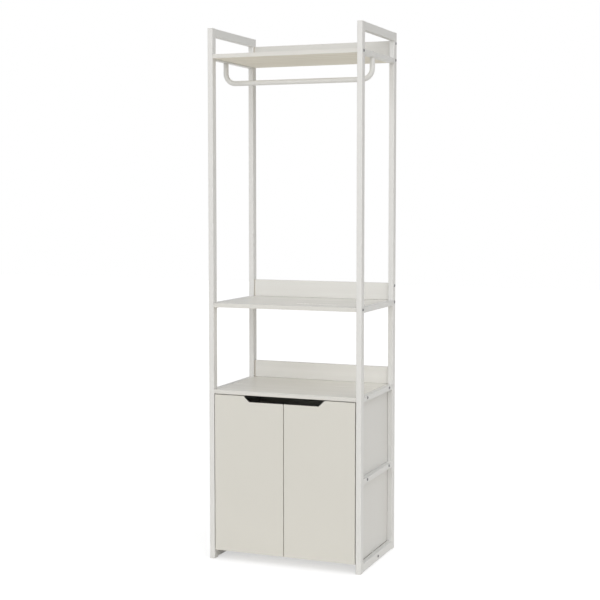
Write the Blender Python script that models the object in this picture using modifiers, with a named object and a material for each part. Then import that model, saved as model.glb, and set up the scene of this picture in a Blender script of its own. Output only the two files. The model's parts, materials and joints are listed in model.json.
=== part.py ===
# A coat stand: two steel side frames, boards between them, a hanging rail
# and a low cabinet with two doors. Metres, +Z up, front towards -Y, origin on
# the floor at the middle of the stand.
import math

import bmesh
import bpy
from mathutils import Matrix, Vector

MM = 0.001

# Overall size
WIDTH = 600 * MM
DEPTH = 400 * MM
HEIGHT = 1975 * MM

# Clearances
SEAT = 0.3 * MM              # between pieces that touch
SWING = 0.7 * MM             # least distance between a turning door and what it passes
PANEL_GAP = 0.5 * MM         # between a side panel and the frame outside it

# Steel tube of the side frames
TUBE_ACROSS = 20 * MM        # every tube, along X
TUBE_DEEP = 30 * MM          # posts along Y, top and bottom rails along Z
SHELF_RAIL = 20 * MM         # height of the rails beside the boards
TUBE_WALL = 1.2 * MM
TUBE_CORNER = 2 * MM
BORE_CORNER = 0.8 * MM
STRETCHER_END = 4 * MM       # plates in the ends of the bottom stretcher

# Plastic plugs in open tube ends
CAP_FLANGE = 1.5 * MM
FOOT_FLANGE = 2 * MM
PLUG_LENGTH = 18 * MM

# Boards and levels
BOARD = 15 * MM
BOARD_EDGE = 0.8 * MM        # rounded edge of every board
TOP_SHELF_DROP = 95 * MM     # top of the frame down to the top shelf's upper face
SHELF_SPACE = 308 * MM       # clear height between the cabinet top and the middle shelf
CABINET_LEVEL = 642 * MM     # upper face of the cabinet top
INNER_LEVEL = 342 * MM       # upper face of the inner shelf
CABINET_FOOT = 35 * MM       # underside of the doors and the bottom board
INNER_SETBACK = 25 * MM      # inner shelf behind the side panels' front edges
PANEL_SKIRT = 2.5 * MM       # side panels below the upper face of the bottom rails
BACK_PANEL = 4 * MM

# Upstands at the back of the three boards
UPSTAND = 65 * MM            # height above the board
UPSTAND_SETBACK = 5 * MM     # upstand's back face in front of the board's back edge
UPSTAND_BOLT_DROP = 10 * MM  # bolt below the upstand's upper edge

# Doors and the finger notch that they share
DOOR = 15 * MM
DOOR_GAP = 3 * MM            # above the doors and between them
NOTCH_MOUTH = 320 * MM
NOTCH_FLOOR = 275 * MM
NOTCH_DEEP = 21.5 * MM
NOTCH_SHOULDER = 6 * MM      # radius where the notch meets the upper edge
NOTCH_CORNER = 9 * MM        # radius where the notch meets its floor

# Hanging rail
RAIL_ACROSS = 19 * MM
RAIL_WALL = 1.2 * MM
RAIL_DROP = 77 * MM          # side rail's underside down to the hanging rail's axis
RAIL_BEND = 38 * MM
RAIL_FORWARD = 60 * MM       # hanging rail in front of the middle of the stand
RAIL_INSERT = 25 * MM

# Bolts
BOLT_ACROSS = 6 * MM
BOLT_LENGTH = 60 * MM
RAIL_BOLT_LENGTH = 40 * MM
BOLT_HEAD = 10.5 * MM
BOLT_HEAD_TALL = 2.6 * MM
BOLT_SOCKET = 4.6 * MM       # across the corners of the hexagon socket
BOLT_SOCKET_DEEP = 1.6 * MM
BOLT_TIP = 0.5 * MM          # bevel on the bolt's end
CABINET_BOLT_INSET = 41.5 * MM   # from the end of a cabinet rail

# Hinges: one pin in a cup that is sunk in the door's back
HINGE_EDGE = 9.5 * MM        # pin from the door's outer edge
HINGE_FRONT = 7 * MM         # pin behind the door's front face
HINGE_INSET = 90 * MM        # hinge from the door's upper and lower edges
CUP_ACROSS = 35 * MM         # bore in the door
CUP_EDGE = 4 * MM            # wood between the bore and the door's outer edge
CUP_SKIN = 4 * MM            # wood in front of the bore
CUP_WALL = 3 * MM
CUP_FLOOR = 1 * MM
CUP_FLANGE = 1.5 * MM
CUP_SCREWS = 48 * MM         # between the two screws of the flange
CUP_SCREW_BACK = 6 * MM      # screws further in than the cup's centre
CUP_EAR = 7 * MM             # flange around its screws
CUP_EAR_CORNER = 5 * MM
SLOT_TALL = 16 * MM
PIN_ACROSS = 2.5 * MM
PIN_LENGTH = 21 * MM
KNUCKLE_ACROSS = 4.8 * MM
ARM_THICK = 2.4 * MM
ARM_LENGTH = 56 * MM         # straight stretch along the side panel
ARM_CRANK = 3 * MM           # the arm's bend in front of the side panel's edge
ARM_SCREWS = 32 * MM         # between the two screws of the arm's ears
ARM_SCREW_BACK = 37 * MM     # those screws behind the side panel's front edge
ARM_EAR = 6 * MM             # ears around their screws
ARM_EAR_CORNER = 4 * MM
SCREW_HOLE = 4.2 * MM

# Magnetic catches under the cabinet top
CATCH_INSET = 72 * MM        # middle of the catch from the door's outer edge
CATCH_BODY = 30 * MM
CATCH_EARS = 46 * MM
CATCH_TALL = 13 * MM
CATCH_EAR_TALL = 3 * MM
CATCH_DEEP = 15 * MM
CATCH_CORNER = 2 * MM
STRIKE_WIDE = 34 * MM
STRIKE_TALL = 12 * MM
STRIKE_THICK = 1.5 * MM
STRIKE_CORNER = 1.5 * MM
STRIKE_DROP = 1 * MM         # below the door's upper edge

# Facets
CORNER_STEPS = 3
NOTCH_STEPS = 5
DOME_STEPS = 4
ROUND_STEPS = 12
INSERT_STEPS = 16
CUP_STEPS = 32
BEND_STEPS = 7

# Places worked out from the sizes above
FRONT = -DEPTH / 2
BACK = DEPTH / 2
POST_X = (WIDTH - TUBE_ACROSS) / 2
FRAME_IN = WIDTH / 2 - TUBE_ACROSS
BOARD_END = FRAME_IN - SEAT
TOP_SHELF = HEIGHT - TOP_SHELF_DROP
MID_SHELF = CABINET_LEVEL + SHELF_SPACE + BOARD
CABINET_UNDER = CABINET_LEVEL - BOARD
FRONT_POST_Y = FRONT + TUBE_DEEP / 2
REAR_POST_Y = BACK - TUBE_DEEP / 2
UPSTAND_Y = BACK - UPSTAND_SETBACK - BOARD / 2
RAIL_SPAN = DEPTH - 2 * TUBE_DEEP
BOTTOM_RAIL_Z = FOOT_FLANGE + TUBE_DEEP / 2

DOOR_SIDE_GAP = math.hypot(HINGE_EDGE, HINGE_FRONT) - HINGE_EDGE + SWING
DOOR_OUT = FRAME_IN - DOOR_SIDE_GAP
DOOR_IN = DOOR_GAP / 2
DOOR_TOP = CABINET_UNDER - DOOR_GAP
DOOR_BACK = FRONT + DOOR
CATCH_X = DOOR_OUT - CATCH_INSET
HINGE_X = DOOR_OUT - HINGE_EDGE
HINGE_Y = FRONT + HINGE_FRONT
HINGE_LEVELS = {"lower": CABINET_FOOT + HINGE_INSET, "upper": DOOR_TOP - HINGE_INSET}

PANEL_OUT = FRAME_IN - PANEL_GAP
PANEL_IN = PANEL_OUT - BOARD
PANEL_FRONT = HINGE_Y + math.hypot(HINGE_EDGE, DOOR - HINGE_FRONT) + SWING
PANEL_BACK = BACK - BACK_PANEL - SEAT
PANEL_TOP = CABINET_UNDER - SEAT
STRETCHER_TOP = FOOT_FLANGE + TUBE_DEEP
PANEL_FOOT = STRETCHER_TOP - PANEL_SKIRT
INNER_END = PANEL_IN - SEAT

RAIL_TOP = TOP_SHELF - SHELF_RAIL - SEAT
RAIL_Z = TOP_SHELF - SHELF_RAIL - RAIL_DROP

# A hinge's own places, from its pin: +X to the door's outer edge, +Y to its back
CUP_X = HINGE_EDGE - CUP_EDGE - CUP_ACROSS / 2
CUP_FLOOR_Y = CUP_SKIN - HINGE_FRONT
DOOR_BACK_Y = DOOR - HINGE_FRONT
ARM_X = PANEL_IN - SEAT - ARM_THICK / 2 - HINGE_X
ARM_BEND_Y = PANEL_FRONT - ARM_CRANK - HINGE_Y

SIDES = {"left": -1, "right": 1}
POSTS = {"front": FRONT_POST_Y, "rear": REAR_POST_Y}


def clear_scene():
    for obj in list(bpy.data.objects):
        bpy.data.objects.remove(obj, do_unlink=True)


def new_collection(name):
    collection = bpy.data.collections.new(name)
    bpy.context.scene.collection.children.link(collection)
    return collection


def finish(name, colour, roughness, metallic=0.0):
    material = bpy.data.materials.new(name)
    material.use_nodes = True
    shader = material.node_tree.nodes["Principled BSDF"]
    shader.inputs["Base Color"].default_value = (*colour, 1.0)
    shader.inputs["Roughness"].default_value = roughness
    shader.inputs["Metallic"].default_value = metallic
    return material


clear_scene()
PARTS = new_collection("coat_stand")
CUTTERS = new_collection("coat_stand_cutters")
POWDER_COAT = finish("white_powder_coat", (0.76, 0.75, 0.72), 0.45)
MELAMINE = finish("white_melamine", (0.74, 0.72, 0.67), 0.38)
DOOR_FACE = finish("ivory_door_face", (0.69, 0.67, 0.60), 0.42)
BACKING = finish("white_backing_board", (0.70, 0.68, 0.63), 0.6)
CAP_PLASTIC = finish("white_plastic", (0.74, 0.73, 0.70), 0.5)
DARK_STEEL = finish("black_bolt_steel", (0.03, 0.03, 0.03), 0.4, 1.0)
ZINC = finish("zinc_plated_steel", (0.55, 0.55, 0.56), 0.35, 1.0)
NICKEL = finish("nickel_plated_steel", (0.62, 0.61, 0.58), 0.25, 1.0)
CATCH_PLASTIC = finish("grey_plastic", (0.55, 0.55, 0.54), 0.5)


# Modelling helpers

def add_object(name, mesh, material, collection=None):
    obj = bpy.data.objects.new(name, mesh)
    mesh.materials.clear()
    mesh.materials.append(material)
    (collection or PARTS).objects.link(obj)
    return obj


def evaluated_mesh(obj):
    bpy.context.view_layer.update()
    graph = bpy.context.evaluated_depsgraph_get()
    return bpy.data.meshes.new_from_object(obj.evaluated_get(graph))


def take_mesh(obj):
    # the object's finished mesh; the object itself is removed
    mesh = evaluated_mesh(obj)
    bpy.data.objects.remove(obj, do_unlink=True)
    return mesh


def weld(mesh):
    bm = bmesh.new()
    bm.from_mesh(mesh)
    bmesh.ops.remove_doubles(bm, verts=bm.verts, dist=0.001 * MM)
    bmesh.ops.recalc_face_normals(bm, faces=bm.faces)
    bm.to_mesh(mesh)
    bm.free()
    return mesh


def smooth(mesh):
    mesh.shade_smooth()
    mesh.set_sharp_from_angle(angle=math.radians(35))
    return mesh


def bevel(obj, width, segments=2):
    modifier = obj.modifiers.new("rounded_edges", "BEVEL")
    modifier.width = width
    modifier.segments = segments
    modifier.limit_method = "ANGLE"
    modifier.angle_limit = math.radians(40)
    return obj


def boolean(obj, other, operation="DIFFERENCE"):
    modifier = obj.modifiers.new(other.name, "BOOLEAN")
    modifier.operation = operation
    modifier.solver = "EXACT"
    modifier.object = other
    return obj


def flat_shading(obj):
    # large faces stay flat beside rounded edges and holes
    modifier = obj.modifiers.new("flat_shading", "WEIGHTED_NORMAL")
    modifier.weight = 100
    modifier.keep_sharp = True


def as_cutter(obj):
    for collection in list(obj.users_collection):
        collection.objects.unlink(obj)
    CUTTERS.objects.link(obj)
    obj.hide_render = True
    obj.display_type = "WIRE"
    return obj


def box(name, low, high, material):
    low, high = Vector(low), Vector(high)
    size = high - low
    bm = bmesh.new()
    shape = Matrix.Translation((low + high) / 2) @ Matrix.Diagonal((*size, 1.0))
    bmesh.ops.create_cube(bm, size=1.0, matrix=shape)
    mesh = bpy.data.meshes.new(name)
    bm.to_mesh(mesh)
    bm.free()
    return add_object(name, mesh, material)


def rods(name, lines, across, material, steps=ROUND_STEPS):
    # round bars between pairs of points, as one object
    bm = bmesh.new()
    for start, end in lines:
        start, end = Vector(start), Vector(end)
        turn = (end - start).to_track_quat("Z", "Y").to_matrix().to_4x4()
        bmesh.ops.create_cone(bm, cap_ends=True, segments=steps, radius1=across / 2, radius2=across / 2,
                              depth=(end - start).length, matrix=Matrix.Translation((start + end) / 2) @ turn)
    mesh = bpy.data.meshes.new(name)
    bm.to_mesh(mesh)
    bm.free()
    return add_object(name, smooth(mesh), material)


def rounded(corners, steps=CORNER_STEPS):
    # an outline from (x, y, radius) corners, with an arc at each corner that has a radius
    points = []
    for i, (x, y, radius) in enumerate(corners):
        here = Vector((x, y))
        if radius <= 0:
            points.append(here)
            continue
        before = (Vector(corners[i - 1][:2]) - here).normalized()
        after = (Vector(corners[(i + 1) % len(corners)][:2]) - here).normalized()
        half = before.angle(after) / 2
        centre = here + (before + after).normalized() * (radius / math.sin(half))
        first = here + before * (radius / math.tan(half)) - centre
        sweep = first.angle_signed(here + after * (radius / math.tan(half)) - centre)
        for k in range(steps + 1):
            points.append(centre + Matrix.Rotation(-sweep * k / steps, 2) @ first)
    return points


def rectangle(across, tall, radius):
    x, y = across / 2, tall / 2
    return rounded([(-x, -y, radius), (x, -y, radius), (x, y, radius), (-x, y, radius)])


def prism(name, loops, thickness, place, material):
    # a flat outline, with holes where loops are nested, given a thickness along its own Z
    curve = bpy.data.curves.new(name, "CURVE")
    curve.dimensions = "2D"
    curve.fill_mode = "BOTH"
    curve.extrude = thickness / 2
    for loop in loops:
        spline = curve.splines.new("POLY")
        spline.points.add(len(loop) - 1)
        for point, (x, y) in zip(spline.points, loop):
            point.co = (x, y, 0.0, 1.0)
        spline.use_cyclic_u = True
    drawn = bpy.data.objects.new(name + "_outline", curve)
    PARTS.objects.link(drawn)
    mesh = weld(take_mesh(drawn))
    bpy.data.curves.remove(curve)
    mesh.transform(place)
    return add_object(name, smooth(mesh), material)


def place_copy(name, mesh, place, material):
    copy = mesh.copy()
    copy.transform(place)
    if place.determinant() < 0:
        copy.flip_normals()
    return add_object(name, smooth(copy), material)


def hang_on(pivot, obj):
    obj.data.transform(Matrix.Translation(-pivot.location))
    obj.parent = pivot
    return obj


# Turns that lay a drawn outline in the XZ plane, or in the YZ plane
UPRIGHT = Matrix.Rotation(math.pi / 2, 4, "X")
SIDEWAYS = Matrix.Rotation(math.pi / 2, 4, "Y")


def move(x, y, z):
    return Matrix.Translation((x, y, z))


# Steel side frames

def tube(name, across, tall, length, place):
    outside = rectangle(across, tall, TUBE_CORNER)
    inside = rectangle(across - 2 * TUBE_WALL, tall - 2 * TUBE_WALL, BORE_CORNER)
    return prism(name, [outside, inside], length, place, POWDER_COAT)


def post(name, side, y):
    low = FOOT_FLANGE + SEAT
    high = HEIGHT - CAP_FLANGE - SEAT
    return tube(name, TUBE_ACROSS, TUBE_DEEP, high - low, move(side * POST_X, y, (low + high) / 2))


def side_rail(name, side, top, tall):
    place = move(side * POST_X, 0, top - tall / 2) @ UPRIGHT
    return tube(name, TUBE_ACROSS, tall, RAIL_SPAN - 2 * SEAT, place)


def side_frame(word, side, bolt_holes, rail_bolt_holes):
    for end, y in POSTS.items():
        boolean(post(f"{word}_{end}_post", side, y), bolt_holes)
    side_rail(f"{word}_top_rail", side, HEIGHT, TUBE_DEEP)
    side_rail(f"{word}_mid_shelf_rail", side, MID_SHELF, SHELF_RAIL)
    boolean(side_rail(f"{word}_top_shelf_rail", side, TOP_SHELF, SHELF_RAIL), rail_bolt_holes)
    boolean(side_rail(f"{word}_cabinet_top_rail", side, CABINET_LEVEL, SHELF_RAIL), bolt_holes)
    boolean(side_rail(f"{word}_cabinet_mid_rail", side, INNER_LEVEL, SHELF_RAIL), bolt_holes)
    boolean(side_rail(f"{word}_bottom_rail", side, FOOT_FLANGE + TUBE_DEEP, TUBE_DEEP), bolt_holes)


def tube_plug(flange, up):
    # a flange the size of the tube's end, with a plug that fills the bore; the flange's outer face is at 0
    slack = TUBE_WALL + SEAT
    outside = rectangle(TUBE_ACROSS, TUBE_DEEP, TUBE_CORNER)
    inside = rectangle(TUBE_ACROSS - 2 * slack, TUBE_DEEP - 2 * slack, BORE_CORNER)
    plate = prism("plug_flange", [outside], flange, move(0, 0, up * flange / 2), CAP_PLASTIC)
    stem_length = PLUG_LENGTH + flange / 2
    stem = prism("plug_stem", [inside], stem_length, move(0, 0, up * (flange + stem_length) / 2), CAP_PLASTIC)
    boolean(plate, stem, "UNION")
    mesh = take_mesh(plate)
    bpy.data.objects.remove(stem, do_unlink=True)
    return mesh


def post_ends(word, side):
    cap = tube_plug(CAP_FLANGE, -1)
    glide = tube_plug(FOOT_FLANGE, 1)
    for end, y in POSTS.items():
        place_copy(f"{word}_{end}_post_cap", cap, move(side * POST_X, y, HEIGHT), CAP_PLASTIC)
        place_copy(f"{word}_{end}_foot_glide", glide, move(side * POST_X, y, 0), CAP_PLASTIC)


def stretcher(bolt_holes):
    # a tube with a plate welded in each end, for a bolt through the bottom rail
    place = move(0, 0, BOTTOM_RAIL_Z) @ SIDEWAYS
    outside = rectangle(TUBE_DEEP, TUBE_ACROSS, TUBE_CORNER)
    inside = rectangle(TUBE_DEEP - 2 * TUBE_WALL, TUBE_ACROSS - 2 * TUBE_WALL, BORE_CORNER)
    bar = prism("bottom_stretcher", [outside], 2 * BOARD_END, place, POWDER_COAT)
    bore = prism("stretcher_bore", [inside], 2 * (BOARD_END - STRETCHER_END), place, POWDER_COAT)
    for cutter in (as_cutter(bore), *bolt_holes):
        boolean(bar, cutter)


# Bolts

def bolt_mesh(length):
    # along Z, with the underside of the head at 0
    r, head, tall = BOLT_ACROSS / 2, BOLT_HEAD / 2, BOLT_HEAD_TALL
    turns = [math.pi / 2 * k / DOME_STEPS for k in range(DOME_STEPS + 1)]
    dome = [(head * math.sin(turn), tall * math.cos(turn)) for turn in turns]
    profile = dome + [(r, 0), (r, BOLT_TIP - length), (r - BOLT_TIP, -length), (0, -length)]
    mesh = bpy.data.meshes.new("bolt")
    mesh.from_pydata([(x, 0, z) for x, z in profile], [(i, i + 1) for i in range(len(profile) - 1)], [])
    turned = bpy.data.objects.new("bolt", mesh)
    PARTS.objects.link(turned)
    screw = turned.modifiers.new("turn", "SCREW")
    screw.steps = screw.render_steps = ROUND_STEPS
    screw.use_merge_vertices = True
    screw.merge_threshold = 0.001 * MM
    bm = bmesh.new()
    bmesh.ops.create_cone(bm, cap_ends=True, segments=6, radius1=BOLT_SOCKET / 2, radius2=BOLT_SOCKET / 2,
                          depth=2 * BOLT_SOCKET_DEEP, matrix=move(0, 0, tall))
    socket_mesh = bpy.data.meshes.new("socket")
    bm.to_mesh(socket_mesh)
    bm.free()
    socket = add_object("socket", socket_mesh, DARK_STEEL)
    boolean(turned, socket)
    mesh = take_mesh(turned)
    bpy.data.objects.remove(socket, do_unlink=True)
    return mesh


def frame_bolt_places():
    # (y, z) of every bolt through one side frame
    cabinet_y = RAIL_SPAN / 2 - CABINET_BOLT_INSET
    places = []
    for level in (TOP_SHELF, MID_SHELF):
        places.append((FRONT_POST_Y, level - BOARD / 2))
        places.append((UPSTAND_Y, level - BOARD / 2))
        places.append((UPSTAND_Y, level + UPSTAND - UPSTAND_BOLT_DROP))
    for level in (CABINET_LEVEL, INNER_LEVEL):
        places.append((-cabinet_y, level - BOARD / 2))
        places.append((cabinet_y, level - BOARD / 2))
    places.append((0, BOTTOM_RAIL_Z))
    return places


def frame_bolt_holes(word, side):
    start = side * (WIDTH / 2 + SEAT)
    end = side * (WIDTH / 2 - BOLT_LENGTH - SEAT)
    lines = [((start, y, z), (end, y, z)) for y, z in frame_bolt_places()]
    return as_cutter(rods(f"{word}_bolt_holes", lines, BOLT_ACROSS + 2 * SEAT, DARK_STEEL))


# Boards

def board(name, half_width, front, back, top, thickness=BOARD):
    piece = box(name, (-half_width, front, top - thickness), (half_width, back, top), MELAMINE)
    return bevel(piece, BOARD_EDGE)


def upstand(name, level):
    low = (-BOARD_END, UPSTAND_Y - BOARD / 2, level + SEAT)
    high = (BOARD_END, UPSTAND_Y + BOARD / 2, level + UPSTAND)
    return bevel(box(name, low, high, MELAMINE), BOARD_EDGE)


def boards(bolt_holes):
    bolted = [
        board("top_shelf", BOARD_END, FRONT, BACK, TOP_SHELF),
        board("mid_shelf", BOARD_END, FRONT, BACK, MID_SHELF),
        board("cabinet_top", BOARD_END, FRONT, BACK, CABINET_LEVEL),
        board("inner_shelf", INNER_END, PANEL_FRONT + INNER_SETBACK, PANEL_BACK, INNER_LEVEL),
        upstand("top_shelf_upstand", TOP_SHELF),
        upstand("mid_shelf_upstand", MID_SHELF),
    ]
    for piece in bolted:
        for holes in bolt_holes:
            boolean(piece, holes)
    upstand("cabinet_upstand", CABINET_LEVEL)
    board("cabinet_bottom", INNER_END, PANEL_FRONT, PANEL_BACK, CABINET_FOOT + BOARD)
    box("back_panel", (-PANEL_OUT, BACK - BACK_PANEL, CABINET_FOOT), (PANEL_OUT, BACK, PANEL_TOP), BACKING)


def side_panel(word, side, bolt_holes):
    # its foot reaches behind the bottom rail, and a notch in it stands on the stretcher
    left, right = sorted((side * PANEL_IN, side * PANEL_OUT))
    low, high = (left, PANEL_FRONT, PANEL_FOOT), (right, PANEL_BACK, PANEL_TOP)
    panel = box(f"{word}_side_panel", low, high, MELAMINE)
    boolean(bevel(panel, BOARD_EDGE), bolt_holes)
    half = TUBE_ACROSS / 2 + SEAT
    low, high = (left - BOARD, -half, 0), (right + BOARD, half, STRETCHER_TOP + SEAT)
    boolean(panel, as_cutter(box(f"{word}_panel_notch", low, high, MELAMINE)))


# Hanging rail

def rail_path():
    # down one leg, round the bend, across, and up the other leg
    bend_x = POST_X - RAIL_BEND
    bend_z = RAIL_Z + RAIL_BEND
    half = [(POST_X, RAIL_TOP)]
    for k in range(BEND_STEPS + 1):
        turn = math.pi / 2 * k / BEND_STEPS
        half.append((bend_x + RAIL_BEND * math.cos(turn), bend_z - RAIL_BEND * math.sin(turn)))
    points = half + [(-x, z) for x, z in reversed(half)]
    return [(x, -RAIL_FORWARD, z) for x, z in points]


def hanging_rail(rail_bolt_holes):
    curve = bpy.data.curves.new("hanging_rail", "CURVE")
    curve.dimensions = "3D"
    curve.bevel_depth = RAIL_ACROSS / 2
    curve.bevel_resolution = 6
    path = rail_path()
    spline = curve.splines.new("POLY")
    spline.points.add(len(path) - 1)
    for point, place in zip(spline.points, path):
        point.co = (*place, 1.0)
    drawn = bpy.data.objects.new("hanging_rail_path", curve)
    PARTS.objects.link(drawn)
    mesh = weld(take_mesh(drawn))
    bpy.data.curves.remove(curve)
    rail = add_object("hanging_rail", smooth(mesh), POWDER_COAT)
    wall = rail.modifiers.new("wall", "SOLIDIFY")
    wall.thickness = RAIL_WALL
    wall.offset = -1.0
    bolt = bolt_mesh(RAIL_BOLT_LENGTH)
    bore = RAIL_ACROSS - 2 * (RAIL_WALL + SEAT)
    for word, side in SIDES.items():
        x, y = side * POST_X, -RAIL_FORWARD
        ends = [((x, y, RAIL_TOP - RAIL_INSERT), (x, y, RAIL_TOP))]
        insert = rods(f"{word}_hanging_rail_insert", ends, bore, CAP_PLASTIC, steps=INSERT_STEPS)
        boolean(insert, rail_bolt_holes)
        place_copy(f"{word}_hanging_rail_bolt", bolt, move(x, y, TOP_SHELF + SEAT), DARK_STEEL)


def rail_bolt_cutter():
    low = TOP_SHELF - RAIL_BOLT_LENGTH - SEAT
    lines = [((side * POST_X, -RAIL_FORWARD, TOP_SHELF + 2 * SEAT), (side * POST_X, -RAIL_FORWARD, low))
             for side in SIDES.values()]
    return as_cutter(rods("rail_bolt_holes", lines, BOLT_ACROSS + 2 * SEAT, DARK_STEEL))


# Hinges, drawn from the pin with the door's outer edge towards +X

def slot_box(name):
    # the way that the arm sweeps through the cup and out of the door's edge
    back = DOOR_BACK_Y + 2 * CUP_FLANGE
    low = (CUP_X + ARM_THICK, CUP_FLOOR_Y, -SLOT_TALL / 2)
    high = (2 * HINGE_EDGE, back, SLOT_TALL / 2)
    return box(name, low, high, ZINC)


def cup_disc(name, start, end, across):
    return rods(name, [((CUP_X, start, 0), (CUP_X, end, 0))], across, NICKEL, steps=CUP_STEPS)


def finished(obj, helpers):
    # the object's mesh once its modifiers are in it; the object and its helpers are removed
    mesh = take_mesh(obj)
    for helper in helpers:
        bpy.data.objects.remove(helper, do_unlink=True)
    return mesh


def hinge_cup():
    across = CUP_ACROSS - 2 * SEAT
    front, rim = CUP_FLOOR_Y + SEAT, DOOR_BACK_Y + SEAT + CUP_FLANGE / 2
    cup = cup_disc("cup", front, rim, across)
    x, z = CUP_X - CUP_SCREW_BACK, CUP_SCREWS / 2
    ears = rectangle(2 * CUP_EAR, CUP_SCREWS + 2 * CUP_EAR, CUP_EAR_CORNER)
    flange = prism("flange", [ears], CUP_FLANGE, move(x, rim, 0) @ UPRIGHT, NICKEL)
    boolean(cup, flange, "UNION")
    screws = [((x, 0, end), (x, 2 * DOOR, end)) for end in (-z, z)]
    cutters = [cup_disc("hollow", front + CUP_FLOOR, 2 * DOOR, across - 2 * CUP_WALL), slot_box("slot"),
               rods("screw_holes", screws, SCREW_HOLE, NICKEL),
               rods("pin_hole", [((0, 0, -CUP_ACROSS), (0, 0, CUP_ACROSS))], PIN_ACROSS + 2 * SEAT, NICKEL)]
    for cutter in cutters:
        boolean(cup, cutter)
    return finished(cup, [flange, *cutters])


def hinge_arm():
    # a plate with two ears on the side panel, a crank towards the pin and a knuckle around it
    half, back = SLOT_TALL / 2 - SEAT, ARM_BEND_Y + ARM_LENGTH
    y, z = ARM_SCREW_BACK + PANEL_FRONT - HINGE_Y, ARM_SCREWS / 2
    tip, corner = z + ARM_EAR, ARM_EAR_CORNER
    upper = [(half, ARM_BEND_Y, 0), (half, y - ARM_EAR, 0), (tip, y - ARM_EAR, corner),
             (tip, y + ARM_EAR, corner), (half, y + ARM_EAR, 0), (half, back, corner)]
    outline = rounded(upper + [(-up, along, radius) for up, along, radius in reversed(upper)])
    on_panel = move(ARM_X, 0, 0) @ Matrix.Rotation(-math.pi / 2, 4, "Y")
    arm = prism("arm", [outline], ARM_THICK, on_panel, ZINC)
    reach = Vector((ARM_X, ARM_BEND_Y + ARM_THICK, 0))
    place = Matrix.Translation(reach / 2) @ Matrix.Rotation(math.atan2(reach.y, reach.x), 4, "Z")
    crank = prism("crank", [rectangle(reach.length, ARM_THICK, 0)], 2 * (half - SEAT), place, ZINC)
    knuckle = rods("knuckle", [((0, 0, -half), (0, 0, half))], KNUCKLE_ACROSS, ZINC)
    for extra in (crank, knuckle):
        boolean(arm, extra, "UNION")
    screws = [((ARM_X - BOARD, y, end), (ARM_X + BOARD, y, end)) for end in (-z, z)]
    cutters = [rods("pin_hole", [((0, 0, -SLOT_TALL), (0, 0, SLOT_TALL))], PIN_ACROSS + 2 * SEAT, ZINC),
               rods("screw_holes", screws, SCREW_HOLE, ZINC)]
    for cutter in cutters:
        boolean(arm, cutter)
    return finished(arm, [crank, knuckle, *cutters])


def hinge_pin():
    return take_mesh(rods("pin", [((0, 0, -PIN_LENGTH / 2), (0, 0, PIN_LENGTH / 2))], PIN_ACROSS, NICKEL))


def hinge_place(side, level):
    return move(side * HINGE_X, HINGE_Y, level) @ Matrix.Diagonal((side, 1, 1, 1))


def hinges(word, side):
    pivot = bpy.data.objects[f"{word}_door_pivot"]
    cup, pin, arm = hinge_cup(), hinge_pin(), hinge_arm()
    for end, level in HINGE_LEVELS.items():
        place = hinge_place(side, level)
        hang_on(pivot, place_copy(f"{word}_{end}_hinge_cup", cup, place, NICKEL))
        hang_on(pivot, place_copy(f"{word}_{end}_hinge_pin", pin, place, NICKEL))
        place_copy(f"{word}_{end}_hinge_arm", arm, place, ZINC)


# Doors

def door_cutters(word, side):
    cutters = []
    for end, level in HINGE_LEVELS.items():
        place = hinge_place(side, level)
        bore = take_mesh(cup_disc("bore", CUP_FLOOR_Y, DOOR, CUP_ACROSS))
        slot = take_mesh(slot_box("slot"))
        cutters.append(as_cutter(place_copy(f"{word}_{end}_cup_bore", bore, place, DOOR_FACE)))
        cutters.append(as_cutter(place_copy(f"{word}_{end}_arm_slot", slot, place, DOOR_FACE)))
    return cutters


def door(word, side):
    pivot = bpy.data.objects.new(f"{word}_door_pivot", None)
    pivot.location = (side * HINGE_X, HINGE_Y, 0)
    PARTS.objects.link(pivot)
    floor = DOOR_TOP - NOTCH_DEEP
    corners = [(DOOR_IN, CABINET_FOOT, 0), (DOOR_OUT, CABINET_FOOT, 0), (DOOR_OUT, DOOR_TOP, 0),
               (NOTCH_MOUTH / 2, DOOR_TOP, NOTCH_SHOULDER), (NOTCH_FLOOR / 2, floor, NOTCH_CORNER),
               (DOOR_IN, floor, 0)]
    outline = [(side * x, z) for x, z in rounded(corners, steps=NOTCH_STEPS)]
    leaf = prism(f"{word}_door", [outline], DOOR, move(0, FRONT + DOOR / 2, 0) @ UPRIGHT, DOOR_FACE)
    bevel(leaf, BOARD_EDGE)
    for cutter in door_cutters(word, side):
        boolean(leaf, cutter)
    return hang_on(pivot, leaf)


def catch(word, side):
    # the catch hangs from the cabinet top on two ears; the strike plate is on the door's back
    ear, body = CATCH_EARS / 2, CATCH_BODY / 2
    corners = [(-ear, 0, 0), (-ear, -CATCH_EAR_TALL, 0), (-body, -CATCH_EAR_TALL, 0),
               (-body, -CATCH_TALL, CATCH_CORNER), (body, -CATCH_TALL, CATCH_CORNER),
               (body, -CATCH_EAR_TALL, 0), (ear, -CATCH_EAR_TALL, 0), (ear, 0, 0)]
    catch_y = DOOR_BACK + 2 * SEAT + STRIKE_THICK + CATCH_DEEP / 2
    place = move(side * CATCH_X, catch_y, CABINET_UNDER - SEAT) @ UPRIGHT
    prism(f"{word}_catch", [rounded(corners)], CATCH_DEEP, place, CATCH_PLASTIC)
    section = rectangle(STRIKE_WIDE, STRIKE_TALL, STRIKE_CORNER)
    strike_y = DOOR_BACK + SEAT + STRIKE_THICK / 2
    strike_z = DOOR_TOP - STRIKE_TALL / 2 - STRIKE_DROP
    place = move(side * CATCH_X, strike_y, strike_z) @ UPRIGHT
    strike = prism(f"{word}_strike_plate", [section], STRIKE_THICK, place, ZINC)
    hang_on(bpy.data.objects[f"{word}_door_pivot"], strike)


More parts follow.
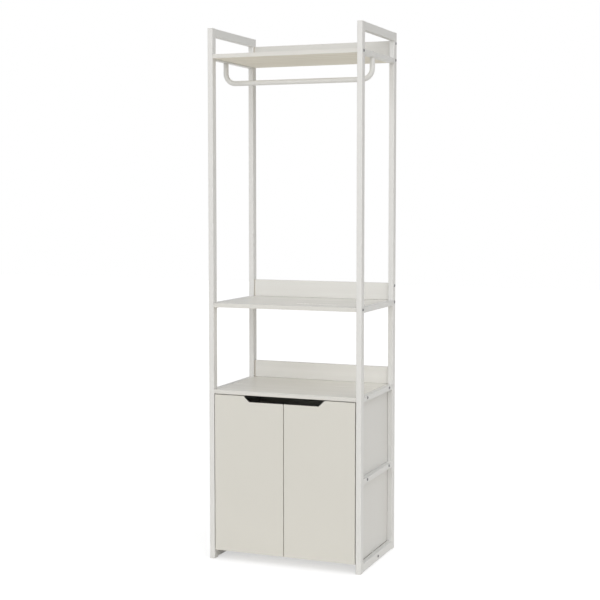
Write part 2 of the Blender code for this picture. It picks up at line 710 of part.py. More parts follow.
def build():
    bolt_holes = [frame_bolt_holes(word, side) for word, side in SIDES.items()]
    rail_bolt_holes = rail_bolt_cutter()
    for (word, side), holes in zip(SIDES.items(), bolt_holes):
        side_frame(word, side, holes, rail_bolt_holes)
        post_ends(word, side)
        side_panel(word, side, holes)
        door(word, side)
        hinges(word, side)
        catch(word, side)
    stretcher(bolt_holes)
    boards(bolt_holes)
    hanging_rail(rail_bolt_holes)
    for obj in PARTS.objects:
        if obj.modifiers:
            flat_shading(obj)


build()
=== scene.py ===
import json
import math

import bmesh
import bpy
from mathutils import Matrix, Vector


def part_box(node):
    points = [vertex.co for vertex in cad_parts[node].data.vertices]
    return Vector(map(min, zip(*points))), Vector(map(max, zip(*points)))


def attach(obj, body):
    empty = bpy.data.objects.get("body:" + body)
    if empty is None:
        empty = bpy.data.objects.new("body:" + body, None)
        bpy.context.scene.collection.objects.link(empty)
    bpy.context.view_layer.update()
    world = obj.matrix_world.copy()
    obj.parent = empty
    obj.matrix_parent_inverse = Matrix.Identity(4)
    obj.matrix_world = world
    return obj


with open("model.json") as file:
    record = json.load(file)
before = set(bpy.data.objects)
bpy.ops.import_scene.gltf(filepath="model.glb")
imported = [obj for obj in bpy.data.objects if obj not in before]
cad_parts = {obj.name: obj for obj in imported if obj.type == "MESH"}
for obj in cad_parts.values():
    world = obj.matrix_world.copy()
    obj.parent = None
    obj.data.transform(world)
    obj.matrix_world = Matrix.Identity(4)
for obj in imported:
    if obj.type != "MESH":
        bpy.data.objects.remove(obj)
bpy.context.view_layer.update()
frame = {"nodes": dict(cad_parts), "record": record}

nodes = frame["nodes"]
scene = bpy.context.scene
mm = 0.001
print("frame loaded,", len(nodes), "nodes")


# camera

photoView = {
    "place": (1.8071, -4.5946, 1.3726),
    "tilt": -0.0722,    # radians from level
    "turn": 0.3774,
    "lens": 78.719,
    "sensor": 36,
    "shiftY": -0.02,    # small, so that a view from another side still holds the whole stand
}


def addCamera(view):
    data = bpy.data.cameras.new("photoCamera")
    data.sensor_width = view["sensor"]
    data.lens = view["lens"]
    data.shift_y = view["shiftY"]
    camera = bpy.data.objects.new("photoCamera", data)
    camera.location = view["place"]
    camera.rotation_euler = (math.pi / 2 + view["tilt"], 0, view["turn"])
    scene.collection.objects.link(camera)
    scene.camera = camera


addCamera(photoView)
print("camera set")


# node helpers

def setSocket(tree, socket, value):
    # another socket is joined to it, anything else is a plain value
    if isinstance(value, bpy.types.NodeSocket):
        tree.links.new(value, socket)
    else:
        socket.default_value = value


def addNode(tree, kind, inputs=None, **settings):
    # inputs go by name or number, settings are the node's own attributes
    node = tree.nodes.new(kind)
    for name, value in settings.items():
        setattr(node, name, value)
    for name, value in (inputs or {}).items():
        setSocket(tree, node.inputs[name], value)
    return node


def mathNode(tree, operation, *values):
    return addNode(tree, "ShaderNodeMath", dict(enumerate(values)), operation=operation).outputs[0]


def mixColours(tree, factor, first, second):
    # a colour is a socket, or its red, green and blue
    node = addNode(tree, "ShaderNodeMix", data_type="RGBA", clamp_factor=True)
    sockets = {socket.identifier: socket for socket in node.inputs}
    setSocket(tree, sockets["Factor_Float"], factor)
    for name, colour in (("A_Color", first), ("B_Color", second)):
        setSocket(tree, sockets[name], (*colour, 1) if isinstance(colour, tuple) else colour)
    return next(socket for socket in node.outputs if socket.identifier == "Result_Color")


def rangeOf(tree, value, low, high, start=0.0, end=1.0):
    # start and end of the value become low and high
    node = addNode(tree, "ShaderNodeMapRange", {"Value": value, "From Min": start, "From Max": end,
                                                "To Min": low, "To Max": high})
    return node.outputs["Result"]


def objectPlace(tree):
    return addNode(tree, "ShaderNodeTexCoord").outputs["Object"]


def axesOf(tree, vector):
    return addNode(tree, "ShaderNodeSeparateXYZ", {0: vector}).outputs


def stretched(tree, place, scale):
    return addNode(tree, "ShaderNodeVectorMath", {0: place, 1: scale}, operation="MULTIPLY").outputs[0]


def noiseOf(tree, place, scale, **inputs):
    return addNode(tree, "ShaderNodeTexNoise", {"Vector": place, "Scale": scale, **inputs}).outputs[0]


def newGroup(name, takes, gives):
    group = bpy.data.node_groups.new(name, "ShaderNodeTree")
    for label, kind in takes.items():
        group.interface.new_socket(name=label, in_out="INPUT", socket_type=kind)
    for label in gives:
        group.interface.new_socket(name=label, in_out="OUTPUT", socket_type="NodeSocketFloat")
    start = group.nodes.new("NodeGroupInput")
    end = group.nodes.new("NodeGroupOutput")
    return group, start.outputs, end.inputs


def useGroup(tree, group, **values):
    node = tree.nodes.new("ShaderNodeGroup")
    node.node_tree = group
    for name, value in values.items():
        node.inputs[name].default_value = value
    return node.outputs


# shared surface effects

def makeOrangePeel():
    # fine pebbled skin of sprayed paint and moulded plastic, and a slow mottle
    group, takes, gives = newGroup("orangePeel", {"Grain": "NodeSocketFloat", "Mottle": "NodeSocketFloat"},
                                   ("Height", "Tone"))
    place = objectPlace(group)
    pebble = noiseOf(group, place, takes["Grain"], Detail=2.0, Roughness=0.45)
    mottle = noiseOf(group, place, takes["Mottle"], Detail=3.0, Roughness=0.55)
    group.links.new(pebble, gives["Height"])
    group.links.new(mottle, gives["Tone"])
    return group


poreLevel = 0.5    # of the foil between its pores
poreRim = 0.1      # how soft the rims of the pores are


def makeBoardGrain():
    # faint printed wood streaks that run along the board, with pores pressed into the foil
    group, takes, gives = newGroup("boardGrain", {"Stretch": "NodeSocketVector", "Pores": "NodeSocketVector"},
                                   ("Tone", "Height"))
    place = objectPlace(group)
    streak = noiseOf(group, stretched(group, place, takes["Stretch"]), 1.0, Detail=4.0, Roughness=0.6,
                     Distortion=0.5)
    pores = noiseOf(group, stretched(group, place, takes["Pores"]), 1.0, Detail=2.0)
    pressed = mathNode(group, "SMOOTH_MIN", pores, poreLevel, poreRim)
    group.links.new(streak, gives["Tone"])
    group.links.new(pressed, gives["Height"])
    return group


edgeWearAndHighlight = {
    "samples": 6,
    "start": 0.995, "full": 0.86,    # cosine between the face and its rounded edge
    "least": 0.45,                   # share that is left between the patches
}


def makeEdgeRubAndHighlight(wearAndHighlight):
    # where an edge is, broken up a little: rubbed wear on metal and the backing board, and a painted
    # highlight on paint, plastic and board
    group, takes, gives = newGroup("edgeRubAndHighlight", {"Width": "NodeSocketFloat", "Patches": "NodeSocketFloat"},
                                   ("Mask",))
    flat = addNode(group, "ShaderNodeNewGeometry").outputs["Normal"]
    rounded = addNode(group, "ShaderNodeBevel", {"Radius": takes["Width"]}, samples=wearAndHighlight["samples"])
    along = addNode(group, "ShaderNodeVectorMath", {0: flat, 1: rounded.outputs[0]}, operation="DOT_PRODUCT")
    edge = rangeOf(group, along.outputs["Value"], 0.0, 1.0, wearAndHighlight["start"], wearAndHighlight["full"])
    patch = noiseOf(group, objectPlace(group), takes["Patches"], Detail=2.0)
    uneven = rangeOf(group, patch, wearAndHighlight["least"], 1.0)
    group.links.new(mathNode(group, "MULTIPLY", edge, uneven), gives["Mask"])
    return group


def makeMetalGrain():
    # rolled and plated metal: drawn lines and cloudy patches
    group, takes, gives = newGroup("metalGrain", {"Lines": "NodeSocketVector", "Clouds": "NodeSocketFloat"},
                                   ("Tone", "Height"))
    place = objectPlace(group)
    lines = noiseOf(group, stretched(group, place, takes["Lines"]), 1.0, Detail=2.0)
    clouds = noiseOf(group, place, takes["Clouds"], Detail=3.0)
    group.links.new(clouds, gives["Tone"])
    group.links.new(lines, gives["Height"])
    return group


orangePeel = makeOrangePeel()
boardGrain = makeBoardGrain()
edgeRubAndHighlight = makeEdgeRubAndHighlight(edgeWearAndHighlight)
metalGrain = makeMetalGrain()


# finishes

def newMaterial(name):
    material = bpy.data.materials.new(name)
    material.use_nodes = True
    tree = material.node_tree
    return material, tree, tree.nodes["Principled BSDF"]


def startMaterial(name, look):
    material, tree, shader = newMaterial(name)
    shader.inputs["Metallic"].default_value = look.get("metal", 0.0)
    shader.inputs["IOR"].default_value = look.get("ior", 1.5)
    return material, tree, shader


def baseCoat(tree, look, tone):
    colour = mixColours(tree, tone, look["dark"], look["light"])
    return colour, rangeOf(tree, tone, *look["rough"])


def endMaterial(tree, shader, look, colour, rough, height):
    # along the edges goes the rubbed colour on metal and the backing board, and a painted highlight on paint,
    # plastic and board
    rubAndHighlight = useGroup(tree, edgeRubAndHighlight, Width=look["rubAndHighlightWidth"], Patches=look["patches"])
    amount = mathNode(tree, "MULTIPLY", rubAndHighlight["Mask"], look["rubAndHighlightShare"])
    tree.links.new(mixColours(tree, amount, colour, look["rubAndHighlight"]), shader.inputs["Base Color"])
    tree.links.new(rough, shader.inputs["Roughness"])
    bump = addNode(tree, "ShaderNodeBump", {"Height": height, "Strength": look["bump"],
                                            "Distance": look["deep"]})
    tree.links.new(bump.outputs[0], shader.inputs["Normal"])


def paintNotchShade(tree, shader, notch):
    # painted shade: only the cut edges of the finger notch, not the faces of the door, are painted near-black
    # like the dark inside behind it
    places = addNode(tree, "ShaderNodeTexCoord").outputs
    point = axesOf(tree, places["Object"])
    front = axesOf(tree, places["Normal"])["Y"]
    cut = mathNode(tree, "LESS_THAN", mathNode(tree, "ABSOLUTE", front), notch["tilt"])
    within = mathNode(tree, "LESS_THAN", mathNode(tree, "ABSOLUTE", point["X"]), notch["half"])
    high = mathNode(tree, "GREATER_THAN", point["Z"], notch["floor"])
    mask = mathNode(tree, "MULTIPLY", mathNode(tree, "MULTIPLY", cut, within), high)
    painted = shader.inputs["Base Color"].links[0].from_socket
    tree.links.new(mixColours(tree, mask, painted, notch["colour"]), shader.inputs["Base Color"])


def paintedMaterial(name, look):
    material, tree, shader = startMaterial(name, look)
    skin = useGroup(tree, orangePeel, Grain=look["grain"], Mottle=look["mottle"])
    colour, rough = baseCoat(tree, look, skin["Tone"])
    endMaterial(tree, shader, look, colour, rough, skin["Height"])
    if "notch" in look:
        paintNotchShade(tree, shader, look["notch"])
    return material


levelFace = 0.7    # the normal of an upper or lower face rises or falls by more than this


def boardMaterial(name, look):
    material, tree, shader = startMaterial(name, look)
    grain = useGroup(tree, boardGrain, Stretch=look["stretch"], Pores=look["pores"])
    tone = grain["Tone"]
    colour, rough = baseCoat(tree, look, tone)
    if "top" in look:
        # painted light: upper faces are painted lighter than the edges, and lower faces lighter and warmer,
        # as if lit warmly from below; lower faces are also duller and upper ones glossier
        normal = addNode(tree, "ShaderNodeNewGeometry").outputs["Normal"]
        upward = axesOf(tree, normal)["Z"]
        paintedLitTop = mathNode(tree, "GREATER_THAN", upward, levelFace)
        paintedLitUnder = mathNode(tree, "LESS_THAN", upward, -levelFace)
        colour = mixColours(tree, paintedLitTop, colour, mixColours(tree, tone, look["topDark"], look["top"]))
        colour = mixColours(tree, paintedLitUnder, colour, mixColours(tree, tone, look["paintedUnderDark"], look["under"]))
        rough = mathNode(tree, "MAXIMUM", rough, mathNode(tree, "MULTIPLY", paintedLitUnder, look["underRough"]))
        rough = mathNode(tree, "SUBTRACT", rough, mathNode(tree, "MULTIPLY", paintedLitTop, look["topGloss"]))
    if "paintedShadeColour" in look:
        # painted shade: a brown band where a board meets the frame, at the ends of the upstands and along the
        # foot of the side panels
        point = axesOf(tree, objectPlace(tree))
        if "paintedShadeEnds" in look:
            paintedShade = mathNode(tree, "GREATER_THAN", mathNode(tree, "ABSOLUTE", point["X"]), look["paintedShadeEnds"])
        else:
            paintedShade = mathNode(tree, "LESS_THAN", point["Z"], look["paintedShadeFoot"])
        colour = mixColours(tree, paintedShade, colour, look["paintedShadeColour"])
    endMaterial(tree, shader, look, colour, rough, grain["Height"])
    return material


def metalMaterial(name, look):
    material, tree, shader = startMaterial(name, look)
    grain = useGroup(tree, metalGrain, Lines=look["lines"], Clouds=look["clouds"])
    colour, rough = baseCoat(tree, look, grain["Tone"])
    endMaterial(tree, shader, look, colour, rough, grain["Height"])
    return material


powderCoat = paintedMaterial("powderCoat", {
    "dark": (0.720, 0.717, 0.700), "light": (0.765, 0.762, 0.745), "rough": (0.36, 0.46),
    "rubAndHighlight": (0.84, 0.835, 0.81), "rubAndHighlightShare": 0.5, "rubAndHighlightWidth": 1.5 * mm, "patches": 45.0,
    "grain": 900.0, "mottle": 6.0, "bump": 0.12, "deep": 0.3 * mm,
})
whitePlastic = paintedMaterial("whitePlastic", {
    "dark": (0.725, 0.715, 0.680), "light": (0.765, 0.757, 0.722), "rough": (0.45, 0.58),
    "rubAndHighlight": (0.80, 0.79, 0.76), "rubAndHighlightShare": 0.4, "rubAndHighlightWidth": 0.6 * mm, "patches": 120.0,
    "grain": 2400.0, "mottle": 25.0, "bump": 0.2, "deep": 0.1 * mm,
})
greyPlastic = paintedMaterial("greyPlastic", {
    "dark": (0.50, 0.50, 0.49), "light": (0.57, 0.57, 0.56), "rough": (0.45, 0.6),
    "rubAndHighlight": (0.63, 0.63, 0.62), "rubAndHighlightShare": 0.5, "rubAndHighlightWidth": 0.6 * mm, "patches": 120.0,
    "grain": 2400.0, "mottle": 25.0, "bump": 0.2, "deep": 0.1 * mm,
})
doorFace = paintedMaterial("doorFace", {
    "dark": (0.668, 0.654, 0.602), "light": (0.700, 0.686, 0.634), "rough": (0.36, 0.44),
    "rubAndHighlight": (0.76, 0.75, 0.70), "rubAndHighlightShare": 0.7, "rubAndHighlightWidth": 1.0 * mm, "patches": 30.0,
    "grain": 1300.0, "mottle": 2.5, "bump": 0.06, "deep": 0.2 * mm,
    # painted shade on the cut edges of the finger notch
    "notch": {"half": 158 * mm, "floor": 601.6 * mm, "tilt": 0.7, "colour": (0.03, 0.03, 0.028)},
})
backingBoard = paintedMaterial("backingBoard", {
    "dark": (0.55, 0.535, 0.495), "light": (0.61, 0.595, 0.555), "rough": (0.55, 0.68),
    "rubAndHighlight": (0.45, 0.36, 0.26), "rubAndHighlightShare": 0.6, "rubAndHighlightWidth": 0.8 * mm, "patches": 20.0,
    "grain": 500.0, "mottle": 9.0, "bump": 0.12, "deep": 0.2 * mm,
})
shelfBoard = boardMaterial("shelfBoard", {
    "ior": 1.42, "dark": (0.690, 0.678, 0.640), "light": (0.730, 0.720, 0.688), "rough": (0.42, 0.50),
    # painted light: lighter upper faces, and lighter, warmer lower faces
    "top": (0.825, 0.812, 0.770), "topDark": (0.780, 0.764, 0.715), "topGloss": 0.20,
    "under": (0.970, 0.948, 0.880), "paintedUnderDark": (0.720, 0.680, 0.580), "underRough": 0.8,
    "rubAndHighlight": (0.80, 0.79, 0.76), "rubAndHighlightShare": 0.4, "rubAndHighlightWidth": 1.0 * mm, "patches": 25.0,
    "stretch": (1.6, 42.0, 42.0), "pores": (30.0, 900.0, 900.0), "bump": 0.05, "deep": 0.1 * mm,
})
# painted light: the upstands get a lighter copy of the melamine, as if more light reached them
litUpstandLook = {
    "ior": 1.42, "dark": (0.735, 0.725, 0.692), "light": (0.800, 0.792, 0.763), "rough": (0.40, 0.50),
    "rubAndHighlight": (0.83, 0.82, 0.79), "rubAndHighlightShare": 0.4, "rubAndHighlightWidth": 1.0 * mm, "patches": 25.0,
    "stretch": (1.6, 60.0, 60.0), "pores": (30.0, 900.0, 900.0), "bump": 0.05, "deep": 0.1 * mm,
    # painted shade at the board's ends, beside the rear posts
    "paintedShadeEnds": 277.6 * mm, "paintedShadeColour": (0.50, 0.42, 0.31),
}
upstandBoard = boardMaterial("upstandBoard", litUpstandLook)
# painted shade: a darker copy for the top shelf's upstand
topUpstandBoard = boardMaterial("topUpstandBoard", {
    **litUpstandLook, "dark": (0.640, 0.628, 0.594), "light": (0.720, 0.710, 0.680),
})
# side panels: grain running upright, and a slightly lighter copy of the melamine as painted light
litUprightBoard = boardMaterial("litUprightBoard", {
    "ior": 1.42, "dark": (0.715, 0.708, 0.682), "light": (0.745, 0.738, 0.712), "rough": (0.38, 0.46),
    "rubAndHighlight": (0.80, 0.79, 0.76), "rubAndHighlightShare": 0.6, "rubAndHighlightWidth": 1.0 * mm, "patches": 25.0,
    "stretch": (80.0, 80.0, 1.8), "pores": (900.0, 900.0, 30.0), "bump": 0.05, "deep": 0.1 * mm,
    # painted shade along the foot, above the bottom rail
    "paintedShadeFoot": 33 * mm, "paintedShadeColour": (0.26, 0.235, 0.20),
})
blackBolt = metalMaterial("blackBolt", {
    "metal": 1.0, "dark": (0.19, 0.19, 0.195), "light": (0.28, 0.28, 0.285), "rough": (0.34, 0.5),
    "rubAndHighlight": (0.50, 0.50, 0.49), "rubAndHighlightShare": 0.5, "rubAndHighlightWidth": 0.3 * mm, "patches": 700.0,
    "lines": (900.0, 900.0, 900.0), "clouds": 300.0, "bump": 0.1, "deep": 0.05 * mm,
})
zincPlate = metalMaterial("zincPlate", {
    "metal": 1.0, "dark": (0.50, 0.50, 0.52), "light": (0.64, 0.64, 0.65), "rough": (0.26, 0.42),
    "rubAndHighlight": (0.78, 0.78, 0.79), "rubAndHighlightShare": 0.6, "rubAndHighlightWidth": 0.4 * mm, "patches": 300.0,
    "lines": (2500.0, 60.0, 2500.0), "clouds": 140.0, "bump": 0.08, "deep": 0.05 * mm,
})
nickelPlate = metalMaterial("nickelPlate", {
    "metal": 1.0, "dark": (0.58, 0.57, 0.54), "light": (0.68, 0.67, 0.64), "rough": (0.16, 0.28),
    "rubAndHighlight": (0.80, 0.79, 0.77), "rubAndHighlightShare": 0.5, "rubAndHighlightWidth": 0.4 * mm, "patches": 300.0,
    "lines": (1500.0, 1500.0, 80.0), "clouds": 90.0, "bump": 0.05, "deep": 0.05 * mm,
})

finishOf = {
    "white_powder_coat": powderCoat, "white_melamine": shelfBoard, "ivory_door_face": doorFace,
    "white_backing_board": backingBoard, "white_plastic": whitePlastic, "black_bolt_steel": blackBolt,
    "zinc_plated_steel": zincPlate, "nickel_plated_steel": nickelPlate, "grey_plastic": greyPlastic,
}
slotOf = {part["node"]: part["material_slot"] for part in frame["record"]["subparts"]}


def dressNode(name, node):
    finish = finishOf[slotOf[name]]
    # side panels and upstands get lighter or darker copies of the melamine: painted light and shade
    if name.endswith("side_panel"):
        finish = litUprightBoard
    elif name == "top_shelf_upstand":
        finish = topUpstandBoard
    elif name.endswith("upstand"):
        finish = upstandBoard
    for place in node.material_slots:
        place.material = finish


for name, node in nodes.items():
    dressNode(name, node)
print("finishes on", len(nodes), "nodes")


# small turned pieces

domeRim = 0.12                     # share of a domed head's height that stands upright at its rim
sharpAngle = math.radians(35)      # steeper edges are not smoothed
tiny = 1e-6                        # keeps a division from zero


def circleOf(across):
    return lambda turn: across / 2


def hexagonOf(corners):
    sixth = math.pi / 3
    return lambda turn: corners / 2 * math.cos(sixth / 2) / math.cos(turn % sixth - sixth / 2)


def crossOf(span, arm):
    def reach(turn):
        side = max(abs(math.cos(turn)), tiny)
        up = max(abs(math.sin(turn)), tiny)
        return max(min(span / 2 / side, arm / 2 / up), min(arm / 2 / side, span / 2 / up))
    return reach


def evenTurns(steps):
    return [2 * math.pi * i / steps for i in range(steps)]


def crossTurns(part):
    # a point at every corner of the cross, and a few between for the round head
    tip = math.atan2(part["arm"], part["cross"])
    return [quarter * math.pi / 2 + turn for quarter in range(4)
            for turn in (-tip, tip, math.pi / 6, math.pi / 4, math.pi / 3)]


def crossRings(part, top):
    # a cross-shaped recess from its floor, which is narrower, up to the head
    floor = crossOf(part["crossFloor"] * part["cross"], part["armFloor"] * part["arm"])
    return [(floor, top - part["crossDeep"]), (crossOf(part["cross"], part["arm"]), top)]


def domeRings(part):
    # from the flat in the middle of a domed head down to its rim
    rings = []
    for k in range(part["domeSteps"] + 1):
        rise = math.pi / 2 * k / part["domeSteps"]
        wide = part["flat"] + (part["head"] - part["flat"]) * math.sin(rise)
        rings.append((circleOf(wide), part["tall"] * (domeRim + (1 - domeRim) * math.cos(rise))))
    return rings + [(circleOf(part["head"]), 0.0)]


def addTurned(bm, rings, turns, place):
    # rings of (outline, height), closed at both ends; an outline is a circle, a hexagon or a cross
    loops = []
    for outline, height in rings:
        points = [Vector((outline(t) * math.cos(t), outline(t) * math.sin(t), height)) for t in turns]
        loops.append([bm.verts.new(place @ point) for point in points])
    faces = [bm.faces.new(loops[0]), bm.faces.new(loops[-1][::-1])]
    for inner, outer in zip(loops, loops[1:]):
        for i in range(len(turns)):
            j = (i + 1) % len(turns)
            faces.append(bm.faces.new((inner[i], outer[i], outer[j], inner[j])))
    bmesh.ops.recalc_face_normals(bm, faces=faces)


def facing(x, y, z, out):
    # a place at that point, with its own +Z along the way out
    return Matrix.Translation((x, y, z)) @ Vector(out).to_track_quat("Z", "Y").to_matrix().to_4x4()


def addGroup(name, build, places, body, finish):
    # one object with a copy of the piece at every place
    bm = bmesh.new()
    for place in places:
        build(bm, place)
    mesh = bpy.data.meshes.new(name)
    bm.to_mesh(mesh)
    bm.free()
    mesh.shade_smooth()
    mesh.set_sharp_from_angle(angle=sharpAngle)
    mesh.materials.append(finish)
    piece = bpy.data.objects.new(name, mesh)
    scene.collection.objects.link(piece)
    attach(piece, body)


sides = {"left": -1, "right": 1}


def outerFace(node, side):
    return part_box(node)[1 if side > 0 else 0].x


def innerFace(node, side):
    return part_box(node)[0 if side > 0 else 1].x


# bolts through the side frames

frameBolt = {
    "head": 10.5 * mm, "flat": 6.4 * mm, "tall": 2.4 * mm, "domeSteps": 4,
    "socket": 4.6 * mm, "socketDeep": 1.6 * mm, "socketRim": 0.12 * mm,
    "drillWide": 0.55, "drillPoint": 0.3 * mm,    # hollow in the socket's floor: share of width, depth
    "shank": 6 * mm, "length": 58 * mm, "tip": 0.6 * mm, "steps": 24, "seat": 0.05 * mm,
}
boltRows = {    # along the depth and up, in mm
    "topFront": (-185, 1872.5), "topBack": (187.5, 1872.5), "topUpstand": (187.5, 1935),
    "midFront": (-185, 957.5), "midBack": (187.5, 957.5), "midUpstand": (187.5, 1020),
    "cabinetFront": (-128.5, 634.5), "cabinetBack": (128.5, 634.5),
    "innerFront": (-128.5, 334.5), "innerBack": (128.5, 334.5), "stretcher": (0, 17),
}


def buildFrameBolt(bm, place):
    part = frameBolt
    top = part["tall"]
    floor = top - part["socketDeep"]
    rings = [(hexagonOf(part["drillWide"] * part["socket"]), floor - part["drillPoint"]),
             (hexagonOf(part["socket"]), floor),
             (hexagonOf(part["socket"]), top - part["socketRim"]),
             (hexagonOf(part["socket"] + 2 * part["socketRim"]), top)]
    rings += domeRings(part)
    rings += [(circleOf(part["shank"]), 0.0),
              (circleOf(part["shank"]), part["tip"] - part["length"]),
              (circleOf(part["shank"] - 2 * part["tip"]), -part["length"])]
    addTurned(bm, rings, evenTurns(part["steps"]), place)


for word, side in sides.items():
    outer = outerFace(f"{word}_front_post", side) + side * frameBolt["seat"]
    places = [facing(outer, y * mm, z * mm, (side, 0, 0)) for y, z in boltRows.values()]
    addGroup(f"{word}FrameBolts", buildFrameBolt, places, "frame", blackBolt)
print("frame bolts in", len(sides) * len(boltRows), "places")


# cross-head screws of the hinges and catches; crossFloor and armFloor are shares of cross and arm

panScrew = {
    "head": 7.4 * mm, "flat": 4.6 * mm, "tall": 1.9 * mm, "domeSteps": 4,
    "cross": 4.2 * mm, "arm": 1.0 * mm, "crossDeep": 1.2 * mm, "crossFloor": 0.5, "armFloor": 0.6,
    "shank": 3.4 * mm, "length": 9 * mm, "point": 3 * mm, "pointWide": 0.8 * mm,
}
flushScrew = {
    "head": 5.6 * mm, "rimShare": 0.94, "tall": 0.1 * mm, "countersink": 1.3 * mm,
    "cross": 3.4 * mm, "arm": 0.8 * mm, "crossDeep": 0.9 * mm, "crossFloor": 0.5, "armFloor": 0.6,
    "shank": 2.6 * mm, "length": 8 * mm, "point": 3 * mm, "pointWide": 0.7 * mm,
}
screwPlaces = {
    "cupEdge": 27.5 * mm,       # from the door's outer edge
    "cupFlange": 1.8 * mm,      # flange's face behind the door
    "cupApart": 24 * mm,        # this and the others apart are from the middle
    "armBack": 37 * mm,         # behind the side panel's front edge
    "armPlate": 2.7 * mm,       # plate's face inside the panel
    "armApart": 16 * mm,
    "catchApart": 19 * mm, "catchEar": 3 * mm, "strikeApart": 11 * mm,
}


def buildScrew(bm, place, part, headRings):
    rings = crossRings(part, part["tall"]) + headRings
    rings += [(circleOf(part["shank"]), part["point"] - part["length"]),
              (circleOf(part["pointWide"]), -part["length"])]
    addTurned(bm, rings, crossTurns(part), place)


def buildPanScrew(bm, place):
    buildScrew(bm, place, panScrew, domeRings(panScrew) + [(circleOf(panScrew["shank"]), 0.0)])


def buildFlushScrew(bm, place):
    part = flushScrew
    head = [(circleOf(part["rimShare"] * part["head"]), part["tall"]), (circleOf(part["head"]), 0.0),
            (circleOf(part["shank"]), -part["countersink"])]
    buildScrew(bm, place, part, head)


for word, side in sides.items():
    gap = screwPlaces
    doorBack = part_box(f"{word}_door")[1].y
    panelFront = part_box(f"{word}_side_panel")[0].y
    cups, arms = [], []
    for level in ("lower", "upper"):
        low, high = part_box(f"{word}_{level}_hinge_cup")
        z = (low.z + high.z) / 2
        for up in (-1, 1):
            cups.append(facing(outerFace(f"{word}_door", side) - side * gap["cupEdge"],
                               doorBack + gap["cupFlange"], z + up * gap["cupApart"], (0, 1, 0)))
            arms.append(facing(innerFace(f"{word}_side_panel", side) - side * gap["armPlate"],
                               panelFront + gap["armBack"], z + up * gap["armApart"], (-side, 0, 0)))
    low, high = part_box(f"{word}_catch")
    middle = (low + high) / 2
    ears = [facing(middle.x + across * gap["catchApart"], middle.y, high.z - gap["catchEar"], (0, 0, -1))
            for across in (-1, 1)]
    low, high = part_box(f"{word}_strike_plate")
    middle = (low + high) / 2
    strikes = [facing(middle.x + across * gap["strikeApart"], high.y, middle.z, (0, 1, 0))
               for across in (-1, 1)]
    addGroup(f"{word}CupScrews", buildPanScrew, cups, f"{word}_door", zincPlate)
    addGroup(f"{word}ArmScrews", buildPanScrew, arms, "frame", zincPlate)
    addGroup(f"{word}CatchScrews", buildPanScrew, ears, "frame", zincPlate)
    addGroup(f"{word}StrikeScrews", buildFlushScrew, strikes, f"{word}_door", zincPlate)
print("hinge and catch screws in")


# cam locks that draw the cabinet's boards together, seen as flat discs

camLock = {
    "across": 15 * mm, "proud": 0.4 * mm, "rim": 0.5 * mm, "rimShare": 0.2, "sunk": 0.6 * mm,
    "cross": 8 * mm, "arm": 1.8 * mm, "crossDeep": 0.8 * mm, "crossFloor": 0.8, "armFloor": 0.8,
    "fromEdge": 34 * mm, "alongDepth": 120 * mm,
}


def buildCamLock(bm, place):
    part = camLock
    rings = crossRings(part, part["proud"])
    rings += [(circleOf(part["across"] - 2 * part["rim"]), part["proud"]),
              (circleOf(part["across"]), part["rimShare"] * part["proud"]),
              (circleOf(part["across"]), -part["sunk"])]
    addTurned(bm, rings, crossTurns(part), place)


camPlaces = []
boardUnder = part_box("cabinet_bottom")[0].z
inset = camLock["fromEdge"]
for word, side in sides.items():
    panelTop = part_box(f"{word}_side_panel")[1].z
    for y in (-camLock["alongDepth"], camLock["alongDepth"]):
        camPlaces.append(facing(innerFace(f"{word}_side_panel", side), y, panelTop - inset, (-side, 0, 0)))
        camPlaces.append(facing(outerFace("cabinet_bottom", side) - side * inset, y, boardUnder, (0, 0, -1)))
addGroup("camLocks", buildCamLock, camPlaces, "frame", zincPlate)
print("cam locks in", len(camPlaces), "places")


# nails along the foot and the sides of the back panel

panelNail = {
    "head": 5 * mm, "flat": 1.6 * mm, "tall": 0.6 * mm, "domeSteps": 3,
    "shank": 1.4 * mm, "length": 14 * mm, "steps": 12, "fromEdge": 7.5 * mm, "spacing": 110 * mm,
}


def buildPanelNail(bm, place):
    part = panelNail
    rings = domeRings(part)
    rings += [(circleOf(part["shank"]), 0.0), (circleOf(part["shank"]), -part["length"])]
    addTurned(bm, rings, evenTurns(part["steps"]), place)


def evenSteps(low, high, spacing):
    count = max(1, round((high - low) / spacing))
    return [low + (high - low) * i / count for i in range(count + 1)]


low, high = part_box("back_panel")
inset = panelNail["fromEdge"]
nailX = evenSteps(low.x + inset, high.x - inset, panelNail["spacing"])
nailZ = evenSteps(low.z + inset, high.z - inset, panelNail["spacing"])
nailPlaces = [facing(x, high.y, nailZ[0], (0, 1, 0)) for x in nailX]
nailPlaces += [facing(x, high.y, z, (0, 1, 0)) for z in nailZ[1:] for x in (nailX[0], nailX[-1])]
addGroup("backPanelNails", buildPanelNail, nailPlaces, "frame", zincPlate)
print("back panel nails in", len(nailPlaces), "places")


# weld beads where the rails meet the posts, under the rail but on top of the bottom rail

weldBead = {
    "across": 1.8 * mm, "length": 15 * mm, "rings": 21, "steps": 10,
    "tip": 0.35, "growth": 0.3,    # share of the width at the ends, and what each ring adds
    "ripple": 0.14, "rippleTurn": 2.1,
}
railNames = ("top_rail", "top_shelf_rail", "mid_shelf_rail", "cabinet_top_rail", "cabinet_mid_rail",
             "bottom_rail")


def buildWeldBead(bm, place):
    part = weldBead
    last = part["rings"] - 1
    rings = []
    for k in range(part["rings"]):
        taper = min(1.0, part["tip"] + part["growth"] * min(k, last - k))
        across = part["across"] * taper * (1 + part["ripple"] * math.cos(part["rippleTurn"] * k))
        rings.append((circleOf(across), part["length"] * (k / last - 0.5)))
    addTurned(bm, rings, evenTurns(part["steps"]), place)


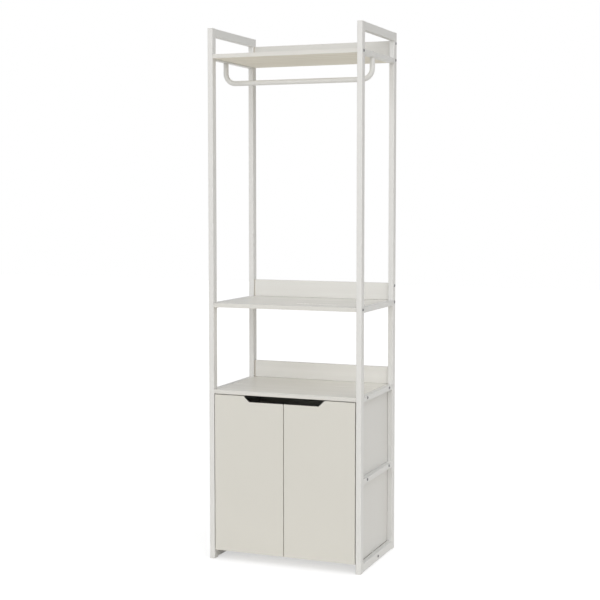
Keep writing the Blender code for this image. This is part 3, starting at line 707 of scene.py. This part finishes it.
beadPlaces = []
for word in sides:
    for rail in railNames:
        low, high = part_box(f"{word}_{rail}")
        z = high.z if rail == "bottom_rail" else low.z
        beadPlaces += [facing((low.x + high.x) / 2, y, z, (1, 0, 0)) for y in (low.y, high.y)]
addGroup("weldBeads", buildWeldBead, beadPlaces, "frame", powderCoat)
print("weld beads in", len(beadPlaces), "places")


# floor and light

studio = {
    "sky": 0.12, "skyMirrored": 0.55,    # light from all round, and how near to white a reflection sees it
    "floorSeen": (0.42, 0.42, 0.42), "floorBounce": (0.93, 0.90, 0.84), "floorWhite": 0.775,
    "floorHalf": 14.0, "floorRough": 0.9,
    "shadeReach": 130 * mm, "shadeEnd": 0.90, "shadeDepth": 0.72,    # soft line round the feet
    "shadeSamples": 8, "lampDistance": 6,
}
softLights = {    # broad, even light from far off: where from, how much and how wide in degrees
    "lowFrontLight": {"source": (-0.1, -1.0, 0.05), "strength": 1.74, "spread": 70},
    "cornerLight": {"source": (0.9, -1.0, 0.45), "strength": 0.36, "spread": 50},
    "upperRightLight": {"source": (1.0, -0.3, 0.8), "strength": 0.85, "spread": 70},
    "topLight": {"source": (0.1, -0.35, 1.0), "strength": 0.73, "spread": 110},
    "backLight": {"source": (-0.7, 1.0, 0.15), "strength": 1.0, "spread": 90},
}


def seenDirectly(tree, mirrored):
    # 1 for what the camera sees, the mirrored share in a reflection or through glass, 0 for all other light
    path = addNode(tree, "ShaderNodeLightPath").outputs
    bounced = mathNode(tree, "MAXIMUM", path["Is Glossy Ray"], path["Is Transmission Ray"])
    return mathNode(tree, "MAXIMUM", path["Is Camera Ray"], mathNode(tree, "MULTIPLY", bounced, mirrored))


def addSky(look):
    world = bpy.data.worlds.new("studioSky")
    world.use_nodes = True
    scene.world = world
    tree = world.node_tree
    level = rangeOf(tree, seenDirectly(tree, look["skyMirrored"]), look["sky"], 1.0)
    tree.links.new(level, tree.nodes["Background"].inputs["Color"])


def addFloor(look):
    half = look["floorHalf"]
    corners = [(-half, -half, 0), (half, -half, 0), (half, half, 0), (-half, half, 0)]
    mesh = bpy.data.meshes.new("studioFloor")
    mesh.from_pydata(corners, [], [(0, 1, 2, 3)])
    floor = bpy.data.objects.new("studioFloor", mesh)
    scene.collection.objects.link(floor)
    material, tree, shader = newMaterial("paleFloor")
    shader.inputs["Roughness"].default_value = look["floorRough"]
    shader.inputs["Specular IOR Level"].default_value = 0.0
    shader.inputs["Emission Strength"].default_value = look["floorWhite"]
    seen = seenDirectly(tree, 1.0)
    colour = mixColours(tree, seen, look["floorBounce"], look["floorSeen"])
    tree.links.new(colour, shader.inputs["Base Color"])
    openness = addNode(tree, "ShaderNodeAmbientOcclusion", {"Distance": look["shadeReach"]},
                       samples=look["shadeSamples"]).outputs["AO"]
    shade = rangeOf(tree, openness, look["shadeDepth"], 1.0, end=look["shadeEnd"])
    tree.links.new(mathNode(tree, "MULTIPLY", seen, shade), shader.inputs["Emission Color"])
    mesh.materials.append(material)


def addSoftLight(name, look, distance):
    data = bpy.data.lights.new(name, "SUN")
    data.energy = look["strength"]
    data.angle = math.radians(look["spread"])
    lamp = bpy.data.objects.new(name, data)
    source = Vector(look["source"])
    lamp.location = distance * source.normalized()
    lamp.rotation_euler = source.to_track_quat("Z", "Y").to_euler()
    lamp.visible_glossy = source.y < 0    # the back light leaves no glare on the shelves
    scene.collection.objects.link(lamp)


addSky(studio)
addFloor(studio)
for name, look in softLights.items():
    addSoftLight(name, look, studio["lampDistance"])
scene.view_settings.view_transform = "Standard"
print("studio lit")
